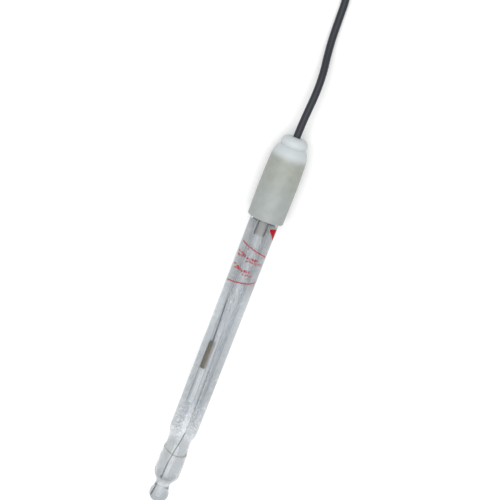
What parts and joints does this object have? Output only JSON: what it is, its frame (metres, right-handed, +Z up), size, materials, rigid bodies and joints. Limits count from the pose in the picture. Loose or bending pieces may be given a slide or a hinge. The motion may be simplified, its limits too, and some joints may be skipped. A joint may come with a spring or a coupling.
{
  "type": "redox electrode",
  "caption": "Glass combination redox electrode with a platinum tip wire, an inner reference cartridge, a moulded cap, a tied cable and a bayonet plug.",
  "frame": {"origin": "on the table under the middle of the electrode, halfway between its glass tip and the top of its cap", "axes": "+Y from the glass tip towards the cap and the cable, +Z up from the table, +X to the right"},
  "size_m": [0.027, 0.3458, 0.0153],
  "materials": {
    "glass": "clear, smooth, fire-polished",
    "clear_glass": "clear, smooth",
    "ceramic": "porous white ceramic",
    "platinum": "bright drawn wire",
    "wire": "bright drawn wire",
    "solder": "smooth bead",
    "clear_sleeve": "smooth translucent tube",
    "seal_plug": "smooth sealant",
    "silver_chloride": "dull brown coating",
    "silver": "drawn wire",
    "white_wool": "packed white fibres",
    "gel": "clear gel",
    "cap_beige": "smooth, slightly glossy",
    "cap_white": "smooth, slightly glossy",
    "copper": "twisted copper strands",
    "potting": "cast resin",
    "cable_grey": "smooth, satin",
    "tie": "smooth strap",
    "boot_black": "satin moulded rubber",
    "nickel": "nickel plated, turned",
    "white_plastic": "smooth turned plastic",
    "gold": "gold plated",
    "gasket": "smooth moulded ring",
    "spring": "spring steel"
  },
  "bodies": {
    "electrode": {"glass_body": "glass", "ceramic_junction": "ceramic", "platinum_wire": "platinum", "lead_wire": "wire", "wire_joint": "solder", "lead_sleeve": "clear_sleeve", "stem_plug": "seal_plug", "cartridge_tube": "clear_glass", "silver_chloride": "silver_chloride", "silver_wire": "silver", "wool_plug": "white_wool", "gel_filling": "gel", "chamber_plug": "seal_plug", "cap_sleeve": "cap_beige", "cap_head": "cap_white", "core_joint": "solder", "cable_core": "copper", "cable_end": "cable_grey", "cap_cement": "potting", "screen_joint": "solder", "screen_tail": "copper", "potting": "potting", "cable": "cable_grey", "cable_tail": "cable_grey", "cable_hank": "cable_grey", "hank_tie": "tie", "plug_boot": "boot_black", "plug_ferrule": "nickel", "plug_body": "nickel", "plug_insulator": "white_plastic", "plug_pin": "gold", "plug_gasket": "gasket", "spring_washer": "spring", "retaining_ring": "spring"},
    "washer": {"thrust_washer": "nickel"},
    "sleeve": {"coupling_sleeve": "nickel"}
  },
  "joints": [
    {"name": "coupling_take_up", "type": "slide", "parent": "electrode", "child": "washer", "axis": [0, 1, 0], "range_m": [0, 0.0008], "stiffness_N_per_m": 8000, "springref_m": -0.0005, "deforming": ["spring_washer"]},
    {"name": "coupling_turn", "type": "hinge", "parent": "washer", "child": "sleeve", "pos_m": [-0.0062, 0.2437, 0.00725], "axis": [0, 1, 0], "continuous": true}
  ]
}
